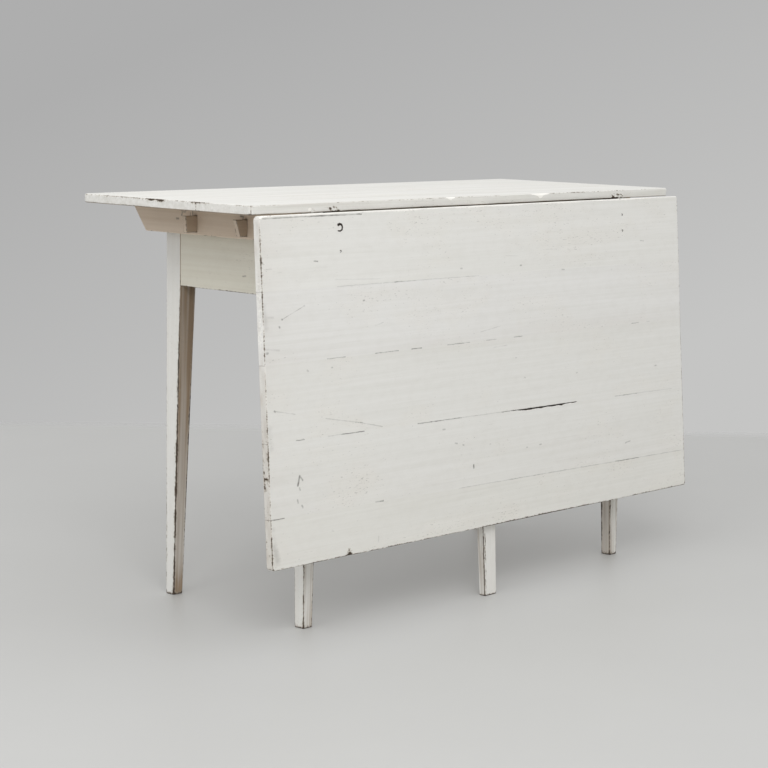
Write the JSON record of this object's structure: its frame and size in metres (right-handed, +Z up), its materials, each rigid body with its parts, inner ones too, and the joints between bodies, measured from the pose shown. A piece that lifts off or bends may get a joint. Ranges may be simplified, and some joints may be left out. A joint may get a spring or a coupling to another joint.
{
  "type": "drop leaf table",
  "caption": "Narrow painted wooden table with a long hinged leaf hanging at the front, tapered square legs, a swing leg behind the leaf and loose wooden keys through end battens.",
  "frame": {"origin": "on the floor, under the middle of the table's length and depth with the leaf hanging", "axes": "+X along the table to the right as seen from the leaf's side, +Y from the leaf to the back, +Z up"},
  "size_m": [1.202, 0.5197, 0.76],
  "materials": {
    "painted_pine": "old off-white oil paint, matt, worn at the arrises",
    "bare_pine": "unpainted, darkened by age",
    "wrought_iron": "forged, dull dark brown"
  },
  "bodies": {
    "table": {"apron_back": "painted_pine", "apron_end_left": "painted_pine", "apron_end_right": "painted_pine", "apron_front": "painted_pine", "fly_rail": "bare_pine", "hinge_pin_left": "wrought_iron", "hinge_pin_right": "wrought_iron", "hinge_plate_left": "wrought_iron", "hinge_plate_nails": "wrought_iron", "hinge_plate_right": "wrought_iron", "hinge_rail": "bare_pine", "hinge_rail_nails": "wrought_iron", "knuckle_pin": "wrought_iron", "leg_back_left": "painted_pine", "leg_back_right": "painted_pine", "leg_front_left": "painted_pine", "leg_front_right": "painted_pine", "leg_pegs_back_left": "painted_pine", "leg_pegs_back_right": "painted_pine", "leg_pegs_front_left": "painted_pine", "leg_pegs_front_right": "painted_pine", "swing_leg": "painted_pine", "swing_leg_pegs": "bare_pine", "top_back_board": "painted_pine", "top_batten_left": "painted_pine", "top_batten_right": "painted_pine", "top_front_board": "painted_pine"},
    "leaf": {"hinge_strap_left": "wrought_iron", "hinge_strap_nails": "wrought_iron", "hinge_strap_right": "wrought_iron", "leaf_board_1": "painted_pine", "leaf_board_2": "painted_pine", "leaf_board_3": "painted_pine", "leaf_board_4": "painted_pine", "leaf_board_5": "painted_pine"},
    "key_left_back": {"locking_key_left_back": "bare_pine"},
    "key_left_front": {"locking_key_left_front": "bare_pine"},
    "key_right_back": {"locking_key_right_back": "bare_pine"},
    "key_right_front": {"locking_key_right_front": "bare_pine"}
  },
  "joints": [
    {"name": "leaf_hinge", "type": "hinge", "parent": "table", "child": "leaf", "pos_m": [0, -0.19961, 0.7404], "axis": [-1, 0, 0], "range_deg": [0, 86.14]},
    {"name": "key_left_back_slide", "type": "slide", "parent": "table", "child": "key_left_back", "axis": [-1, 0, 0], "range_m": [0, 0.09]},
    {"name": "key_left_front_slide", "type": "slide", "parent": "table", "child": "key_left_front", "axis": [-1, 0, 0], "range_m": [0, 0.09]},
    {"name": "key_right_back_slide", "type": "slide", "parent": "table", "child": "key_right_back", "axis": [1, 0, 0], "range_m": [0, 0.09]},
    {"name": "key_right_front_slide", "type": "slide", "parent": "table", "child": "key_right_front", "axis": [1, 0, 0], "range_m": [0, 0.09]}
  ]
}
